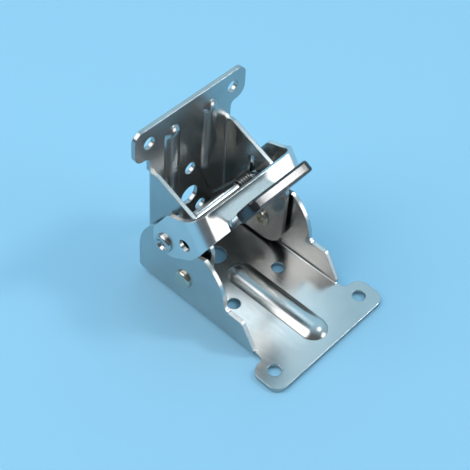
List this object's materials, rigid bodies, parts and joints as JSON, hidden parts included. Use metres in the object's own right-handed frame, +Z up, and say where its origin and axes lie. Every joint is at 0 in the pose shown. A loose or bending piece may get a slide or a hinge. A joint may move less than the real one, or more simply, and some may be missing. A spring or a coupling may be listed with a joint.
{
  "type": "folding table leg bracket",
  "caption": "Self-locking folding bracket of bright plated sheet steel that holds a table leg upright, with a spring-loaded release lever and a black finger grip.",
  "frame": {"origin": "on the underside of the base plate, straight below the fold axis, on the plane of symmetry", "axes": "+X forward along the base plate, away from the leg; +Y across the bracket along the fold axis; +Z up, away from the table"},
  "size_m": [0.0797, 0.0636, 0.0756],
  "materials": {
    "nickel_steel": "bright nickel plating, satin",
    "spring_wire": "drawn wire",
    "black_plastic": "glossy dipped plastic"
  },
  "bodies": {
    "base": {"base_bracket": "nickel_steel", "pivot_rivet_left": "nickel_steel", "pivot_rivet_right": "nickel_steel"},
    "leg": {"leg_bracket": "nickel_steel", "pivot_washer_left": "nickel_steel", "pivot_washer_right": "nickel_steel"},
    "bar": {"lock_bar": "nickel_steel", "bar_sleeve": "nickel_steel"},
    "lever": {"release_lever": "nickel_steel", "lever_grip": "black_plastic", "spring_left": "spring_wire", "spring_right": "spring_wire"}
  },
  "joints": [
    {"name": "leg_fold", "type": "hinge", "parent": "base", "child": "leg", "pos_m": [0, 0, 0.014], "axis": [0, 1, 0], "range_deg": [0, 90]},
    {"name": "bar_lift", "type": "slide", "parent": "leg", "child": "bar", "axis": [0, 0, 1], "range_m": [0, 0.0099]},
    {"name": "lever_swing", "type": "hinge", "parent": "bar", "child": "lever", "pos_m": [-0.0078, 0, 0.031], "axis": [0, -1, 0], "range_deg": [0, 22]}
  ],
  "couplings": [
    {"joint": "bar_lift", "follows": "leg_fold", "m_per_rad": 0.0063025},
    {"joint": "lever_swing", "follows": "leg_fold", "ratio": 0.24444}
  ]
}
